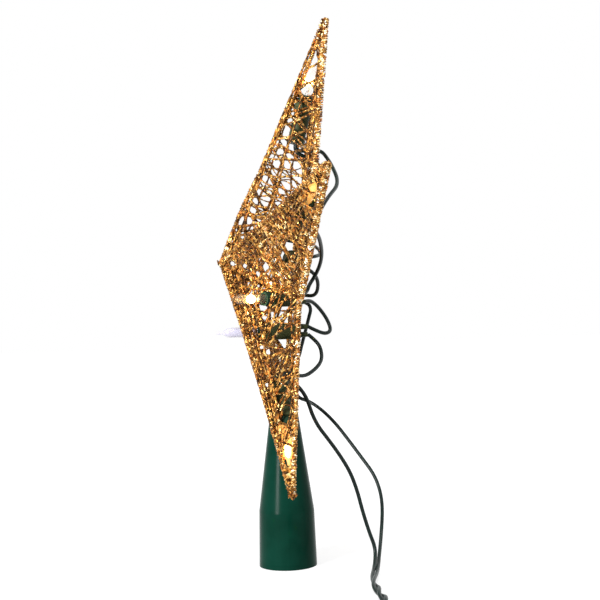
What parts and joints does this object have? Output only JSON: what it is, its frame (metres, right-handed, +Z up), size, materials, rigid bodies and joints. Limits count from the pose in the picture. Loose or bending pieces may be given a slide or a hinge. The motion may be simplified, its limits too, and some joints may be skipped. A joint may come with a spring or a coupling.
{
  "type": "tree topper star",
  "caption": "Five-pointed star of wound gold thread on a wire frame, lit from inside by push-in lamps, on a hollow green cone that fits over the tree's leader, with a wired plug.",
  "frame": {"origin": "centre of the cone's mouth, on the floor it stands on", "axes": "+Z up along the cone's axis, the star's front faces -Y, +X to the star's right as seen from its front"},
  "size_m": [0.3171, 0.0838, 0.2797],
  "materials": {
    "frame_wire": "gold paint, wound with gold thread",
    "gold_thread": "gold metallic thread with glitter",
    "cone_plastic": "dark green, satin",
    "stem_steel": "bright wire",
    "contact_brass": "stamped",
    "holder_plastic": "dark green",
    "lamp_base_plastic": "green",
    "lamp_glass": "clear",
    "wire_jacket": "dark green, glossy",
    "tie_plastic": "green",
    "plug_plastic": "dark green",
    "blade_brass": "bright",
    "fuse_glass": "clear, with metal ends"
  },
  "bodies": {
    "topper": {"apex_boss": "frame_wire", "arm_web_left_lower": "gold_thread", "arm_web_left_upper": "gold_thread", "arm_web_right_lower": "gold_thread", "arm_web_right_upper": "gold_thread", "arm_web_top": "gold_thread", "back_web": "gold_thread", "coil_tie": "tie_plastic", "edge_wires": "frame_wire", "holder_centre": "holder_plastic", "holder_contacts": "contact_brass", "holder_front_left": "holder_plastic", "holder_front_low": "holder_plastic", "holder_front_right": "holder_plastic", "holder_left_lower": "holder_plastic", "holder_left_upper": "holder_plastic", "holder_right_lower": "holder_plastic", "holder_right_upper": "holder_plastic", "holder_top": "holder_plastic", "lamp_base_centre": "lamp_base_plastic", "lamp_base_left_lower": "lamp_base_plastic", "lamp_base_left_upper": "lamp_base_plastic", "lamp_base_right_lower": "lamp_base_plastic", "lamp_base_right_upper": "lamp_base_plastic", "lamp_base_top": "lamp_base_plastic", "lamp_glass_centre": "lamp_glass", "lamp_glass_left_lower": "lamp_glass", "lamp_glass_left_upper": "lamp_glass", "lamp_glass_right_lower": "lamp_glass", "lamp_glass_right_upper": "lamp_glass", "lamp_glass_top": "lamp_glass", "lead_coil": "wire_jacket", "lead_tail": "wire_jacket", "lead_wire_a": "wire_jacket", "lead_wire_b": "wire_jacket", "plug_blades": "blade_brass", "plug_body": "plug_plastic", "plug_fuses": "fuse_glass", "ridge_wires": "frame_wire", "stem_wire": "stem_steel", "string_wire_1": "wire_jacket", "string_wire_2": "wire_jacket", "string_wire_3": "wire_jacket", "string_wire_4": "wire_jacket", "string_wire_5": "wire_jacket", "string_wire_6": "wire_jacket", "string_wire_7": "wire_jacket", "string_wire_8": "wire_jacket", "tree_cone": "cone_plastic", "twisted_lead": "wire_jacket", "valley_wires": "frame_wire"},
    "lamp_front_low": {"lamp_base_front_low": "lamp_base_plastic", "lamp_glass_front_low": "lamp_glass"},
    "lamp_front_right": {"lamp_base_front_right": "lamp_base_plastic", "lamp_glass_front_right": "lamp_glass"},
    "lamp_front_left": {"lamp_base_front_left": "lamp_base_plastic", "lamp_glass_front_left": "lamp_glass"},
    "fuse_door": {"fuse_door": "plug_plastic"}
  },
  "joints": [
    {"name": "front_low_pull", "type": "slide", "parent": "topper", "child": "lamp_front_low", "axis": [0, -1, 0], "range_m": [0, 0.012]},
    {"name": "front_right_pull", "type": "slide", "parent": "topper", "child": "lamp_front_right", "axis": [0.5736, -0.8192, 0], "range_m": [0, 0.012]},
    {"name": "front_left_pull", "type": "slide", "parent": "topper", "child": "lamp_front_left", "axis": [-0.5736, -0.8192, 0], "range_m": [0, 0.012]},
    {"name": "fuse_door_slide", "type": "slide", "parent": "topper", "child": "fuse_door", "axis": [0, -1, 0], "range_m": [0, 0.012]}
  ]
}
